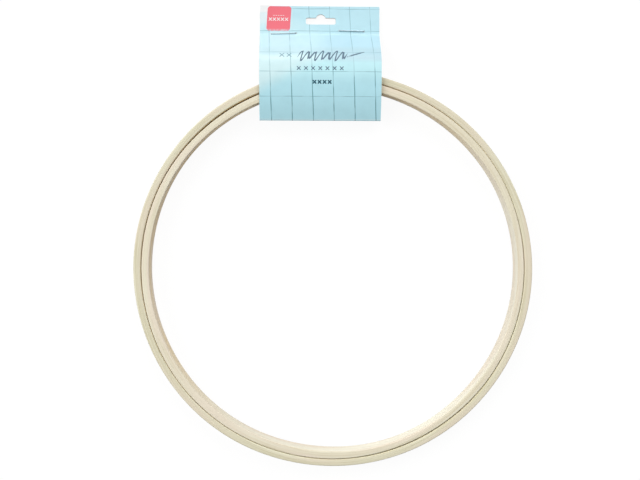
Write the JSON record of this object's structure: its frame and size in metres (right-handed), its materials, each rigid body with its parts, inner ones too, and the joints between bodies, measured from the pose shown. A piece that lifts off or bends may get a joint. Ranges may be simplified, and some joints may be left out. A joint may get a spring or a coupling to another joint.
{
  "type": "embroidery hoop",
  "caption": "Round wooden embroidery hoop: plain inner ring in a split outer ring with a brass thumb screw closure, in a folded and stapled hanging card.",
  "frame": {"origin": "on the surface it lies on, under the middle of the whole object's box", "axes": "+Z along the hoop's axis, up from the surface; +Y from the hoop's middle towards the closure and the card; +X to the right in the picture"},
  "size_m": [0.2004, 0.2326, 0.0131],
  "materials": {
    "outer_wood": "bare sanded bent wood, slightly greenish beige",
    "inner_wood": "bare sanded bent wood, cream",
    "brass": "stamped and turned brass",
    "card": "pale blue card printed with a thin squared grid, satin varnish",
    "staple_wire": "galvanised flat wire"
  },
  "bodies": {
    "hoop": {"outer_ring": "outer_wood", "ear_left": "brass", "ear_right": "brass", "tack_left_1": "brass", "tack_left_2": "brass", "tack_right_1": "brass", "tack_right_2": "brass", "square_nut": "brass", "card_back": "card"},
    "inner_hoop": {"inner_ring": "inner_wood"},
    "card_flap": {"card_front": "card", "staple_left": "staple_wire", "staple_right": "staple_wire"},
    "screw_washer": {"washer": "brass"},
    "screw": {"thumb_screw": "brass"}
  },
  "joints": [
    {"name": "inner_ring_lift", "type": "slide", "parent": "hoop", "child": "inner_hoop", "axis": [0, 0, 1], "range_m": [0, 0.022]},
    {"name": "card_open", "type": "hinge", "parent": "hoop", "child": "card_flap", "pos_m": [-0.0069, 0.058, 0.008], "axis": [1, 0, 0], "range_deg": [0, 130], "deforming": ["staple_left", "staple_right"]},
    {"name": "screw_travel", "type": "slide", "parent": "hoop", "child": "screw_washer", "axis": [-1, 0, 0], "range_m": [0, 0.007]},
    {"name": "screw_turn", "type": "hinge", "parent": "screw_washer", "child": "screw", "pos_m": [-0.006, 0.0885, 0.0056], "axis": [-1, 0, 0], "range_deg": [0, 3600]}
  ],
  "couplings": [
    {"joint": "card_open", "follows": "inner_ring_lift", "rad_per_m": 103.1},
    {"joint": "screw_turn", "follows": "screw_travel", "rad_per_m": 8975.9}
  ]
}
